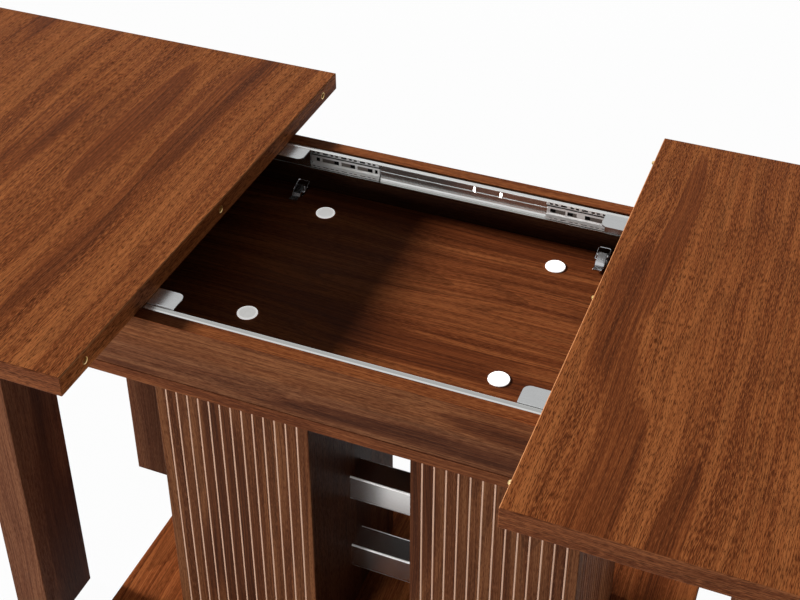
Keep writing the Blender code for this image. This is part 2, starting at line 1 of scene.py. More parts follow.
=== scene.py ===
"""Looks of the extending dining table: walnut, inlaid flutes, ball-bearing slides and studio light."""

import math

import bpy
import numpy as np
from mathutils import Matrix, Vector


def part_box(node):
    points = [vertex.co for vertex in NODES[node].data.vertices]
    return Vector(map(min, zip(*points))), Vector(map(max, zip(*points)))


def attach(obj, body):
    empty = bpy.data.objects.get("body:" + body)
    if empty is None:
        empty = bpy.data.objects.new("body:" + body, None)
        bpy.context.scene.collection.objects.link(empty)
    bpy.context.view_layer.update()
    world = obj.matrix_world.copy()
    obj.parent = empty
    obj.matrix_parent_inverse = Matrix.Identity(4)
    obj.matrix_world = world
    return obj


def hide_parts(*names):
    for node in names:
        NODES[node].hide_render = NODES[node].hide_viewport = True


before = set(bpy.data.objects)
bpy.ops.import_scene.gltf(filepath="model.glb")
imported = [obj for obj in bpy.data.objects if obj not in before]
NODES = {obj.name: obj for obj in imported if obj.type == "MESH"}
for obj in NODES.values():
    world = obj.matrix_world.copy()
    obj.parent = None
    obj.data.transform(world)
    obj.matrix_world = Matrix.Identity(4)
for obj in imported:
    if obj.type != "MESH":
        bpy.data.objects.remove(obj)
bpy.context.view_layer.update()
SCENE = bpy.context.scene

MM = 0.001
SIDES = {"left": -1, "right": 1}
ENDS = {"front": -1, "rear": 1}
TABLE_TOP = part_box("top_left")[1].z
INNER_EDGE = -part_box("top_left")[1].x
RAIL_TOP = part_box("rail_rear")[1].z
TRAY_MIDDLE = (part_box("rail_front")[0].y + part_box("rail_rear")[1].y) / 2
RAIL_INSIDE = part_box("rail_rear")[0].y - TRAY_MIDDLE
SLIDE_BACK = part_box("slide_rear")[1].y - TRAY_MIDDLE
SLIDE_HALF = (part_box("slide_rear")[1].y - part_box("slide_rear")[0].y) / 2


# Colours and shader nodes

def tint(red, green, blue):
    """Turn an 8-bit screen colour into linear light with full alpha."""
    screen = np.array([red, green, blue]) / 255
    linear = np.where(screen <= 0.04045, screen / 12.92, ((screen + 0.055) / 1.055) ** 2.4)
    return (*linear.tolist(), 1.0)


def scaled(colour, factor):
    """Scale a colour's light, up to full light."""
    return tuple(min(1.0, channel * factor) for channel in colour[:3]) + (1.0,)


class Value:
    """A shader socket with arithmetic: each operator adds one Math node."""

    def __init__(self, finish, socket):
        self.finish = finish
        self.socket = socket

    def math(self, operation, first, second=0.0):
        return self.finish.node("ShaderNodeMath", {"operation": operation}, {0: first, 1: second})

    def __add__(self, other):
        return self.math("ADD", self, other)

    def __radd__(self, other):
        return self.math("ADD", other, self)

    def __sub__(self, other):
        return self.math("SUBTRACT", self, other)

    def __rsub__(self, other):
        return self.math("SUBTRACT", other, self)

    def __mul__(self, other):
        return self.math("MULTIPLY", self, other)

    def __rmul__(self, other):
        return self.math("MULTIPLY", other, self)

    def __abs__(self):
        return self.math("ABSOLUTE", self)

    def part(self):
        """The part after the decimal point."""
        return self.math("FRACT", self)

    def above(self, limit):
        """1 where the value is above the limit."""
        return self.math("GREATER_THAN", self, limit)

    def most(self, other):
        """The larger of two values."""
        return self.math("MAXIMUM", self, other)

    def ease(self, start, full):
        """0 at start and 1 at full, with a soft start and end; full may lie below start."""
        settings = {"interpolation_type": "SMOOTHSTEP"}
        return self.finish.node("ShaderNodeMapRange", settings, {0: self, 1: start, 2: full})


class Finish:
    """The nodes of one material, or of the surroundings."""

    def __init__(self, owner):
        owner.use_nodes = True
        self.owner = owner
        self.tree = owner.node_tree
        self.tree.nodes.clear()

    def node(self, kind, settings, values, output=0):
        """Make a node: its settings first, then the numbers or links of its sockets."""
        made = self.tree.nodes.new(kind)
        for key, setting in settings.items():
            if key == "stops":
                ramp = made.color_ramp.elements
                while len(ramp) < len(setting):
                    ramp.new(0.5)
                for element, (place, colour) in zip(ramp, setting):
                    element.position = place
                    element.color = colour
            else:
                setattr(made, key, setting)
        for key, value in values.items():
            if isinstance(value, Value):
                self.tree.links.new(value.socket, made.inputs[key])
            else:
                made.inputs[key].default_value = value
        return Value(self, made.outputs[output]) if made.outputs else None

    def place(self):
        """The three coordinates of the piece, in metres in the table's frame."""
        spot = self.node("ShaderNodeTexCoord", {}, {}, "Object")
        return [self.node("ShaderNodeSeparateXYZ", {}, {0: spot}, axis) for axis in range(3)]

    def vector(self, first, second, third):
        return self.node("ShaderNodeCombineXYZ", {}, {0: first, 1: second, 2: third})

    def noise(self, vector, detail=2.0, roughness=0.5, scale=1.0):
        values = {"Vector": vector, "Scale": scale, "Detail": detail, "Roughness": roughness}
        return self.node("ShaderNodeTexNoise", {}, values)

    def ramp(self, value, stops):
        return self.node("ShaderNodeValToRGB", {"stops": stops}, {0: value})

    def mix(self, factor, first, second, way="MIX"):
        """Mix two colours; the Mix node keeps its colours in sockets 6 and 7, and gives them from 2."""
        settings = {"data_type": "RGBA", "blend_type": way}
        return self.node("ShaderNodeMix", settings, {0: factor, 6: first, 7: second}, 2)

    def bump(self, height, distance, strength):
        values = {"Height": height, "Distance": distance, "Strength": strength}
        return self.node("ShaderNodeBump", {}, values)

    def surface(self, **values):
        """End the material in one Principled shader; names are the sockets' words joined by _."""
        sockets = {key.replace("_", " "): value for key, value in values.items()}
        shader = self.node("ShaderNodeBsdfPrincipled", {}, sockets)
        self.node("ShaderNodeOutputMaterial", {}, {"Surface": shader})
        return self.owner


def new_finish(name):
    """Start an empty material."""
    return Finish(bpy.data.materials.new(name))


# Walnut

def stained(stops, red, green, blue):
    """Scale the colours of a wood by a stain's three factors."""
    stain = np.array([red, green, blue, 1.0])
    return [(place, tuple((np.array(colour) * stain).tolist())) for place, colour in stops]


# Each wood is a ramp from dark streaks to golden fibres.
WALNUT = [(0.24, tint(74, 36, 18)), (0.42, tint(106, 54, 27)),
          (0.56, tint(125, 67, 34)), (0.76, tint(158, 93, 50))]
WALNUT_RED = stained(WALNUT, 0.86, 0.84, 0.86)
WALNUT_DULL = stained(WALNUT, 0.86, 0.96, 1.24)
WALNUT_EDGE = stained(WALNUT, 0.56, 0.60, 0.78)
WALNUT_DARK = stained(WALNUT, 0.44, 0.54, 0.84)
PORE = tint(62, 30, 15)

# Parts of the grain: repeats per metre along it and across it, then the noise's detail and roughness.
BANDS = (0.7, 40, 3.0, 0.55)
STREAKS = (1.6, 170, 2.0, 0.55)
FIBRES = (6, 560, 2.0, 0.6)
DASHES = (100, 1000, 1.0, 0.5)
BEND_ALONG, BEND_ACROSS, BEND_WIDTH = 1.5, 4, 0.06
FIGURE_ALONG, FIGURE_HEIGHT, FIGURE_LOW = 1.1, 0.8, 0.07
HEART_START, HEART_FULL = 0.52, 0.57
GROWTH_LINES, GROWTH_DRIFT = 17, 7
FLAME_RISE, FLAME_RIM, FLAME_BEND = 0.16, 0.53, 0.1

# What each part adds to the tone, which is the place on the ramp, to the colour and to the height.
BAND_TONE, STREAK_TONE, FIBRE_TONE, HEART_TONE, MIDDLE_TONE = 0.9, 0.55, 0.8, 0.22, 0.60
HEART_CLOSED, HEART_CALM = 0.6, 0.4
GROWTH_SHARE, STREAK_SHARE, GOLD_SHARE = 0.35, 0.6, 0.72
PORE_SHARE, PORE_VIVID = 0.35, 0.38
GROWTH_FADE = (0.3, 1.0)
STREAK_FADE = (0.58, 0.72)
GOLD_FADE = (0.46, 0.36)
PORE_FADE = (0.54, 0.62)
FIBRE_RELIEF, STREAK_RELIEF, PORE_RELIEF = 0.4, 0.3, 0.9


def veneer(f, along, across, deep, seed, stops, figured, vivid=1.0, flames=(), porous=1.0):
    """Return the colour, height and pores of walnut whose grain runs along the first coordinate.

    Slow noise bends the grain sideways. A noise stretched along the grain is the figure: its summits
    are smooth red heartwood, pointed at both ends, and its contour lines are the growth lines. A flame
    adds a long oval summit at a place. Finer stretched noises are the long bands, the thin dark
    streaks, the fibres and the short pores, which are fewer in the heartwood.
    """
    slow = f.vector(along * BEND_ALONG + seed, across * BEND_ACROSS, deep * BEND_ACROSS)
    bend = f.noise(slow) - 0.5
    drift = across + bend * BEND_WIDTH

    def stretched(part, starts):
        """The noise of one part of the grain, begun at its own place."""
        lengthwise, sideways, detail, roughness = part
        spots = (along * lengthwise, drift * sideways, deep * sideways)
        begun = [spot + start if start else spot for spot, start in zip(spots, starts)]
        return f.noise(f.vector(*begun), detail, roughness)

    summits = f.noise(f.vector(along * FIGURE_ALONG - seed, drift * figured, deep * figured))
    figure = summits * FIGURE_HEIGHT + FIGURE_LOW
    for middle, line, length, width in flames:
        lengthwise = (along - middle) * (1 / length)
        sideways = (drift - line) * (1 / width)
        oval = 1 - lengthwise * lengthwise - sideways * sideways
        figure = figure.most(oval * FLAME_RISE + FLAME_RIM + bend * FLAME_BEND)
    heart = figure.ease(HEART_START, HEART_FULL)
    growth = (figure * GROWTH_LINES + drift * GROWTH_DRIFT).part().ease(*GROWTH_FADE)
    bands = stretched(BANDS, (2 * seed, 0, 0))
    streaks = stretched(STREAKS, (0, seed, 0))
    fibres = stretched(FIBRES, (0, 0, seed))
    dashes = stretched(DASHES, (seed, 0, 0))

    open_wood = 1 - heart * HEART_CLOSED
    pores = dashes.ease(*PORE_FADE) * open_wood
    wide = (bands - 0.5) * (1 - heart * HEART_CALM) * BAND_TONE + (streaks - 0.5) * STREAK_TONE
    tone = wide * vivid + (fibres - 0.5) * FIBRE_TONE - heart * HEART_TONE + MIDDLE_TONE
    dark, gold = stops[0][1], stops[-1][1]
    colour = f.ramp(tone, stops)
    colour = f.mix(growth * open_wood * (GROWTH_SHARE * vivid), colour, dark)
    colour = f.mix(streaks.ease(*STREAK_FADE) * (STREAK_SHARE * vivid), colour, dark)
    colour = f.mix(dashes.ease(*GOLD_FADE) * open_wood * (GOLD_SHARE * porous), colour, gold)
    colour = f.mix(pores * ((PORE_SHARE + PORE_VIVID * vivid) * porous), colour, PORE)
    height = fibres * FIBRE_RELIEF + streaks * STREAK_RELIEF - pores * PORE_RELIEF
    return colour, height, pores


EDGE_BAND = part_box("top_left")[1].y - 1.5 * MM
EDGE_FIGURE = 14.0
EDGE_SEED = 7.3
# Painted highlight: a pale tan line along each top half's upper inner edge, where the bevel catches the
# key light.
PAINTED_EDGE_HIGHLIGHT = tint(206, 150, 104)
PAINTED_EDGE_HIGHLIGHT_START, PAINTED_EDGE_HIGHLIGHT_FULL = 1.6 * MM, 0.64 * MM
PAINTED_EDGE_HIGHLIGHT_SHARE = 0.55


def top_edges(f, spot, seed, colour, height):
    """Add a top half's bands along its front and back edges; paint a highlight along its upper inner
    edge.
    """
    band = abs(spot[1]).above(EDGE_BAND)
    edge_colour, edge_height, _ = veneer(f, spot[0], spot[2], spot[1], seed + EDGE_SEED, WALNUT_EDGE,
                                         EDGE_FIGURE)
    colour = f.mix(band, colour, edge_colour)
    height = height + band * (edge_height - height)
    from_edge = abs(spot[0]) - INNER_EDGE + (TABLE_TOP - spot[2])
    edge_highlight = from_edge.ease(PAINTED_EDGE_HIGHLIGHT_START, PAINTED_EDGE_HIGHLIGHT_FULL)
    return f.mix(edge_highlight * PAINTED_EDGE_HIGHLIGHT_SHARE, colour, PAINTED_EDGE_HIGHLIGHT), height


# Painted light and shade: a rail's top is made warmer and brighter, and the lower half of its face
# darker, as the light falls on them.
PAINTED_RAIL_TOP_LIGHT = (1.50, 1.30, 1.06, 1.0)
PAINTED_RAIL_TOP_LIGHT_START, PAINTED_RAIL_TOP_LIGHT_FULL = RAIL_TOP - 1.0 * MM, RAIL_TOP - 0.4 * MM
PAINTED_RAIL_LOW_SHADE = (0.84, 0.90, 1.04, 1.0)
PAINTED_RAIL_LOW_SHADE_START, PAINTED_RAIL_LOW_SHADE_FULL = RAIL_TOP - 36 * MM, RAIL_TOP - 56 * MM
# Painted shade: the rail's tray side is darkened to stand for the shade inside the tray.
PAINTED_INSIDE_SHADE = tint(24, 20, 17)
PAINTED_INSIDE_SHADE_START, PAINTED_INSIDE_SHADE_FULL = RAIL_INSIDE + 1.2 * MM, RAIL_INSIDE + 0.4 * MM
PAINTED_INSIDE_SHADE_SHARE = 0.64


def rail_faces(f, spot, colour):
    """Paint warmer light on a rail's top, painted shade on the lower half of its face, and painted
    shade on its tray side.
    """
    painted_top = spot[2].ease(PAINTED_RAIL_TOP_LIGHT_START, PAINTED_RAIL_TOP_LIGHT_FULL)
    painted_low = spot[2].ease(PAINTED_RAIL_LOW_SHADE_START, PAINTED_RAIL_LOW_SHADE_FULL)
    shaded_tray_side = abs(spot[1] - TRAY_MIDDLE).ease(PAINTED_INSIDE_SHADE_START, PAINTED_INSIDE_SHADE_FULL)
    colour = f.mix(painted_top, colour, PAINTED_RAIL_TOP_LIGHT, "MULTIPLY")
    colour = f.mix(painted_low, colour, PAINTED_RAIL_LOW_SHADE, "MULTIPLY")
    return f.mix(shaded_tray_side * PAINTED_INSIDE_SHADE_SHARE, colour, PAINTED_INSIDE_SHADE)


GRAINS = {"X": (0, 1, 2), "Y": (1, 0, 2), "Z": (2, 0, 1)}
WOOD_CLOUDS = 9.0
WOOD_ROUGH, WOOD_CLOUD_ROUGH, WOOD_PORE_ROUGH = 0.40, 0.16, 0.2
WOOD_RELIEF = 0.12 * MM
WOOD_GLOSS = 0.03


def walnut(name, grain, seed, stops, figured=10.0, vivid=1.0, flames=(), porous=1.0,
           top=False, rail=False):
    """Make satin walnut with its grain along one axis; a top half gets its edge bands and a painted
    edge highlight, a rail its painted light and shade.
    """
    f = new_finish(name)
    spot = f.place()
    along, across, deep = [spot[axis] for axis in GRAINS[grain]]
    colour, height, pores = veneer(f, along, across, deep, seed, stops, figured, vivid, flames, porous)
    if top:
        colour, height = top_edges(f, spot, seed, colour, height)
    if rail:
        colour = rail_faces(f, spot, colour)
    clouds = f.noise(f.vector(*spot), scale=WOOD_CLOUDS)
    roughness = clouds * WOOD_CLOUD_ROUGH + pores * WOOD_PORE_ROUGH + WOOD_ROUGH
    return f.surface(Base_Color=colour, Roughness=roughness,
                     Normal=f.bump(height, WOOD_RELIEF, 0.6), Specular_IOR_Level=WOOD_GLOSS)


INLAY_DARK, INLAY_PALE = tint(160, 120, 95), tint(208, 170, 146)
INLAY_RELIEF = 0.08 * MM


def inlay_wood(name):
    """Make the pale strip in the flutes, with faint upright grain."""
    f = new_finish(name)
    x, y, z = f.place()
    fibres = f.noise(f.vector(x * 900, y * 900, z * 14), 2.0, 0.6)
    clouds = f.noise(f.vector(x * 60, y * 60, z * 3))
    colour = f.mix(fibres * 0.6 + clouds * 0.4, INLAY_DARK, INLAY_PALE)
    return f.surface(Base_Color=colour, Roughness=clouds * 0.15 + 0.42,
                     Normal=f.bump(fibres, INLAY_RELIEF, 0.5), Specular_IOR_Level=0.35)


# Steel, brass and felt

# Painted light on the front slide's top, from its outer edge inwards: a highlight, then shade.
PAINTED_SLIDE_LIGHT = [(0.12, tint(250, 250, 248)), (0.30, tint(246, 246, 244)), (0.42, tint(166, 166, 164)),
           (0.72, tint(170, 170, 168)), (0.90, tint(204, 204, 202))]
PAINTED_SLIDE_LIGHT_END = 1.1
PAINTED_SLIDE_LIGHT_START, PAINTED_SLIDE_LIGHT_FULL = RAIL_TOP - 2.0 * MM, RAIL_TOP - 1.0 * MM
LINES_ALONG = 14
STEEL_CLOUDS, STEEL_SPECKS = 38.0, 420.0
STEEL_DULL, STEEL_BRIGHT = 0.80, 1.08
LINE_SHADE, CLOUD_SHADE, SPECK_SHADE = 0.3, 0.3, 0.15
LINE_ROUGH, CLOUD_ROUGH = 0.06, 0.10
STEEL_RELIEF = 0.002 * MM
BAR_BOXES = np.array([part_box(name) for name in NODES if name.startswith("bar_")])
BAR_MIDDLE = BAR_BOXES.mean(axis=(0, 1))
BAR_HALF = (BAR_BOXES[0, 1] - BAR_BOXES[0, 0]) / 2
BAR_APART = abs(BAR_BOXES[0].mean(axis=0)[2] - BAR_MIDDLE[2])
CORNER_START, CORNER_FULL = -2.6 * MM, -1.6 * MM
CORNER_ROUGH = 0.45


def brushed(name, colour, rough, metallic=1.0, anisotropic=0.3, fine=2600, worn=1.0, gloss=0.5,
            painted_light=False, corners=False):
    """Make brushed steel with fine lines along X and a few duller clouds and specks.

    The front slide's top gets a painted highlight along its outer edge and painted shade along its
    middle. A bar's rounded corners are rougher than its faces.
    """
    f = new_finish(name)
    x, y, z = f.place()
    lines = f.noise(f.vector(x * LINES_ALONG, y * fine, z * fine), 2.0, 0.6)
    clouds = f.noise(f.vector(x, y, z), 3.0, 0.6, scale=STEEL_CLOUDS)
    specks = f.noise(f.vector(x, y, z), scale=STEEL_SPECKS).ease(0.64, 0.76)
    wear = (lines - 0.5) * LINE_SHADE + (clouds - 0.5) * CLOUD_SHADE - specks * SPECK_SHADE
    stops = [(0.25, scaled(colour, STEEL_DULL)), (0.65, scaled(colour, STEEL_BRIGHT))]
    base = f.ramp(wear * worn + 0.5, stops)
    # Painted light: a highlight along the front slide top's outer edge and shade along its middle.
    if painted_light:
        from_edge = (y - TRAY_MIDDLE + SLIDE_BACK) * (0.5 / SLIDE_HALF)
        painted_top = z.ease(PAINTED_SLIDE_LIGHT_START, PAINTED_SLIDE_LIGHT_FULL)
        on_front = (PAINTED_SLIDE_LIGHT_END - from_edge).above(0)
        base = f.mix(painted_top * on_front, base, f.ramp(from_edge, PAINTED_SLIDE_LIGHT))
    roughness = ((lines - 0.5) * LINE_ROUGH + (clouds - 0.5) * CLOUD_ROUGH) * worn + rough
    if corners:
        beside = abs(y - BAR_MIDDLE[1]) - BAR_HALF[1]
        above = abs(abs(z - BAR_MIDDLE[2]) - BAR_APART) - BAR_HALF[2]
        corner = beside.ease(CORNER_START, CORNER_FULL) * above.ease(CORNER_START, CORNER_FULL)
        roughness = roughness + corner * CORNER_ROUGH
    return f.surface(Base_Color=base, Metallic=metallic, Roughness=roughness,
                     Normal=f.bump(lines, STEEL_RELIEF, 0.2 * worn),
                     Anisotropic=anisotropic, Specular_IOR_Level=gloss)


# Painted shade: a near-black line along the cage's upper bend stands for the shade under its lip.
PAINTED_CAGE_SHADE = tint(15, 13, 12)
PAINTED_CAGE_SHADE_SHARE = 0.97
PAINTED_CAGE_SHADE_HIGH, PAINTED_CAGE_SHADE_LOW = -10.5 * MM, -13.8 * MM
PAINTED_CAGE_SHADE_SOFT = 0.4 * MM
PAINTED_CAGE_SHADE_WAVE = 1.2 * MM
CAGE_CLOUDS = 60.0
CAGE_DULL = 0.84
CAGE_RELIEF = 0.004 * MM
CAGE_METAL = 0.12


def shaded_cage(name, colour):
    """Make plated cage steel with a line of painted shade along its upper bend, under the lip."""
    f = new_finish(name)
    x, y, z = f.place()
    grain = f.noise(f.vector(x * 30, y * 1500, z * 1500), 2.0, 0.6)
    clouds = f.noise(f.vector(x, y, z), 3.0, 0.6, scale=CAGE_CLOUDS)
    plated = f.mix(grain * 0.3 + clouds * 0.7, scaled(colour, CAGE_DULL), colour)
    level = z + (clouds - 0.5) * PAINTED_CAGE_SHADE_WAVE - RAIL_TOP
    over_low = level.ease(PAINTED_CAGE_SHADE_LOW - PAINTED_CAGE_SHADE_SOFT, PAINTED_CAGE_SHADE_LOW)
    under_high = level.ease(PAINTED_CAGE_SHADE_HIGH + PAINTED_CAGE_SHADE_SOFT, PAINTED_CAGE_SHADE_HIGH)
    shade_line = over_low * under_high
    return f.surface(Base_Color=f.mix(shade_line * PAINTED_CAGE_SHADE_SHARE, plated, PAINTED_CAGE_SHADE),
                     Metallic=CAGE_METAL - shade_line * CAGE_METAL,
                     Roughness=clouds * 0.12 + grain * 0.08 + 0.22,
                     Normal=f.bump(grain, CAGE_RELIEF, 0.2), Specular_IOR_Level=0.15)


BRASS_DARK, BRASS_PALE = tint(224, 186, 116), tint(250, 224, 168)
BRASS_CLOUDS = 160.0
BRASS_RELIEF = 0.03 * MM


def turned_brass(name):
    """Make pale brass with fine turning rings, a little darker where it was handled."""
    f = new_finish(name)
    x, y, z = f.place()
    rings = f.noise(f.vector(x * 2600, y * 90, z * 90), 1.0)
    clouds = f.noise(f.vector(x, y, z), scale=BRASS_CLOUDS)
    colour = f.mix(clouds.ease(0.35, 0.7), BRASS_DARK, BRASS_PALE)
    return f.surface(Base_Color=colour, Metallic=1.0, Roughness=rings * 0.12 + clouds * 0.12 + 0.20,
                     Normal=f.bump(rings, BRASS_RELIEF, 0.5))


FELT_GREY, FELT_WHITE, RIM_WHITE = tint(212, 211, 208), tint(244, 243, 241), tint(255, 254, 252)
FELT_FIBRES, FELT_PATCHES = 1500.0, 180.0
FELT_RELIEF = 0.2 * MM
# Painted light: the pads glow faintly so that they stay pale in shade.
PAINTED_PAD_GLOW = 0.60
PAD_LOW = np.array(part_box("pad_front_left")[0])
PAD_HIGH = np.array(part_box("pad_rear_right")[1])
PAD_MIDDLE = (PAD_LOW + PAD_HIGH) / 2
PAD_RADIUS = (PAD_HIGH[0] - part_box("pad_rear_right")[0].x) / 2
PAD_PLACE = (PAD_HIGH - PAD_LOW) / 2 - PAD_RADIUS
RIM_FULL = PAD_RADIUS - 2.6 * MM
RIM_START = RIM_FULL - 0.8 * MM


def white_pad(name):
    """Make a white felt-faced pad with short fibres, a few grey flecks and a paler rim; it glows
    faintly as painted light.
    """
    f = new_finish(name)
    spot = f.place()
    fibres = f.noise(f.vector(*spot), 3.0, 0.7, scale=FELT_FIBRES)
    patches = f.noise(f.vector(*spot), scale=FELT_PATCHES)
    face = f.mix(fibres.ease(0.3, 0.75) * 0.6 + patches * 0.4, FELT_GREY, FELT_WHITE)
    along, across = [abs(spot[axis] - PAD_MIDDLE[axis]) - PAD_PLACE[axis] for axis in range(2)]
    outward = along * along + across * across
    colour = f.mix(outward.ease(RIM_START ** 2, RIM_FULL ** 2), face, RIM_WHITE)
    return f.surface(Base_Color=colour, Roughness=fibres * 0.15 + 0.75,
                     Normal=f.bump(fibres, FELT_RELIEF, 0.5), Sheen_Weight=0.2,
                     Emission_Color=colour, Emission_Strength=PAINTED_PAD_GLOW)


# Finishes of the table

# Flames of the two halves, in metres: middle along the grain, line across it, half length, half width.
LEFT_FLAMES = ((0.16, -0.400, 0.17, 0.026), (0.15, -0.497, 0.20, 0.022))
RIGHT_FLAMES = ((-0.36, 0.358, 0.20, 0.032), (-0.43, 0.445, 0.20, 0.022), (0.17, 0.335, 0.22, 0.018))

TOP_LEFT = walnut("walnut_left_half_finish", "Y", 3.1, stained(WALNUT, 1.0, 1.05, 1.10),
                  figured=11.0, flames=LEFT_FLAMES, top=True)
TOP_RIGHT = walnut("walnut_right_half_finish", "Y", 8.6, stained(WALNUT, 0.95, 0.96, 0.98),
                   figured=8.0, flames=RIGHT_FLAMES, top=True)
TRAY = walnut("walnut_tray_finish", "X", 5.7, stained(WALNUT_RED, 0.90, 0.88, 0.90),
              vivid=1.35, porous=0.5)
RAIL = walnut("walnut_rail_finish", "X", 9.2, stained(WALNUT_DULL, 0.69, 0.73, 0.75),
              figured=16.0, vivid=0.8, porous=0.6, rail=True)
BOARD = walnut("walnut_board_finish", "X", 6.3, stained(WALNUT_DULL, 0.70, 0.69, 0.70),
               figured=16.0, porous=0.4)
COLUMN = walnut("walnut_column_finish", "Z", 2.9, stained(WALNUT_DULL, 0.54, 0.59, 0.65),
                figured=9.0, vivid=1.1, porous=0.7)
# Painted shade: the columns' inner boards get a darker walnut to stand for the shade between the
# columns.
COLUMN_INSIDE_SHADED = walnut("walnut_column_inside_painted_shade_finish", "Z", 4.4, stained(WALNUT_DULL, 0.40, 0.42, 0.48),
                       figured=14.0, vivid=0.6)
LEG = walnut("walnut_leg_finish", "Z", 12.4, stained(WALNUT_DARK, 1.14, 1.18, 1.26),
             figured=12.0, vivid=0.5, porous=0.7)
BASE = walnut("walnut_base_finish", "Y", 14.8, WALNUT_RED, vivid=1.2, porous=0.5)
BAR = brushed("steel_bar_finish", tint(238, 236, 234), 0.26, anisotropic=0.0, fine=3200, worn=0.12,
              corners=True)
# The slide steel carries painted light along the front slide's top.
SLIDE = brushed("steel_slide_finish", tint(206, 206, 204), 0.25, anisotropic=0.0, fine=1300, worn=0.2,
                painted_light=True)
CARRIAGE = brushed("steel_carriage_finish", tint(180, 181, 181), 0.24, anisotropic=0.0, fine=1300,
                   worn=0.5)
CAGE = shaded_cage("steel_cage_finish", tint(238, 238, 236))
# Painted shade: near-black sheets behind the windows and slot ends, and paler sheets in the rest of the
# slots, stand for shade inside the slide.
PAINTED_SHADE_SHEET = brushed("painted_shade_pocket_finish", tint(14, 12, 11), 0.45, metallic=0.0, anisotropic=0.0,
                 gloss=0.02)
PAINTED_SLOT_SHADE = brushed("painted_slot_shade_finish", tint(112, 104, 98), 0.40, metallic=0.0, anisotropic=0.0, gloss=0.1)
LATCH = brushed("latch_steel_finish", tint(188, 188, 190), 0.22)
# Painted shade: the balls are made near black so that the windows in front of them read as shade.
SHADE_DARK_BALL = brushed("bearing_ball_shade_finish", tint(24, 24, 25), 0.34, metallic=0.5, fine=300, gloss=0.1)
BRASS = turned_brass("brass_finish")
PAD = white_pad("pad_finish")
INLAY = inlay_wood("inlay_finish")

# A node takes the finish of its own name, or else of the first word of its name.
NODE_FINISHES = {
    "top_left": TOP_LEFT, "top_right": TOP_RIGHT,
    "column_inner_left": COLUMN_INSIDE_SHADED, "column_inner_right": COLUMN_INSIDE_SHADED,
    "socket": BRASS, "pin": BRASS, "runner": CARRIAGE, "carriage": CARRIAGE, "cage": CAGE,
    "slide": SLIDE, "rail": RAIL, "end": TRAY, "bottom": BOARD, "floor": TRAY, "pad": PAD,
    "latch": LATCH, "lever": LATCH, "bail": LATCH, "column": COLUMN, "bar": BAR, "base": BASE,
    "leg": LEG,
}
for node_name, node in NODES.items():
    finish = NODE_FINISHES.get(node_name) or NODE_FINISHES[node_name.split("_")[0]]
    if not node.material_slots:
        node.data.materials.append(finish)
    for material_slot in node.material_slots:
        material_slot.material = finish


# New pieces

def piece(name, points, faces, finish, body, smooth=False):
    """Make a mesh from arrays, give it a finish and let it ride on a body of the table."""
    mesh = bpy.data.meshes.new(name)
    mesh.from_pydata(points.reshape(-1, 3).tolist(), [], faces)
    mesh.polygons.foreach_set("use_smooth", np.full(len(mesh.polygons), smooth))
    mesh.update()
    mesh.materials.append(finish)
    obj = bpy.data.objects.new(name, mesh)
    SCENE.collection.objects.link(obj)
    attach(obj, body)
    return obj


def tubes(count, rings, around):
    """Faces of straight tubes: quads between neighbouring rings, and a cap on both ends."""
    index = np.arange(count * rings * around).reshape(count, rings, around)
    turned = np.roll(index, -1, axis=2)
    corners = [index[:, :-1], turned[:, :-1], turned[:, 1:], index[:, 1:]]
    quads = np.stack(corners, axis=-1).reshape(-1, 4)
    caps = np.concatenate([index[:, 0, ::-1], index[:, -1]])
    return quads.tolist() + caps.tolist()


def sheets(shape, keep):
    """Quads of one grid of points; keep says which of its cells stay."""
    index = np.arange(shape[0] * shape[1]).reshape(shape)
    quads = np.stack([index[:-1, :-1], index[1:, :-1], index[1:, 1:], index[:-1, 1:]], axis=-1)
    return quads[keep].tolist()


def at_rail(u, v, end):
    """Turn (in from the slide's back, above the rail's top) into Y and Z at one rail."""
    return TRAY_MIDDLE + end * (SLIDE_BACK - u), RAIL_TOP + v


STRIP_WIDTH = 2.3 * MM
STRIP_RECESS = 0.4 * MM
STRIP_CROWN = 0.15 * MM
STRIP_BACK = 1.46 * MM
STRIP_SHORT = 0.2 * MM
STRIP_ACROSS = np.array([-1, -0.5, 0, 0.5, 1, 1, -1])
STRIP_FACE = np.array([True, True, True, True, True, False, False])
FLUTE_COUNTS = {"front": 13, "rear": 13, "outer": 16}


def flute_strips(board, side_name):
    """Make the pale strips in one board's grooves: a crowned section carried straight up each groove.

    Over the strip's width s, from -1 to 1, the face lies at recess + crown * s squared behind the
    board's face; the back is flat.
    """
    low, high = (np.array(corner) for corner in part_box(f"column_{board}_{side_name}"))
    across, inward = (0, 1) if board in ENDS else (1, 0)
    outward = ENDS.get(board, SIDES[side_name])
    face = (low if outward < 0 else high)[inward]
    count = FLUTE_COUNTS[board]
    middles = np.linspace(low[across], high[across], count + 2)[1:-1]
    depth = np.where(STRIP_FACE, STRIP_RECESS + STRIP_CROWN * STRIP_ACROSS ** 2, STRIP_BACK)
    levels = np.array([low[2] + STRIP_SHORT, high[2] - STRIP_SHORT])
    points = np.empty((count, len(levels), len(depth), 3))
    points[..., across] = middles[:, None, None] + STRIP_ACROSS * STRIP_WIDTH / 2
    points[..., inward] = face - outward * depth
    points[..., 2] = levels[None, :, None]
    if (outward > 0) == (across == 0):
        points = points[:, :, ::-1]
    faces = tubes(*points.shape[:3])
    piece(f"strips_{board}_{side_name}", points, faces, INLAY, "frame")


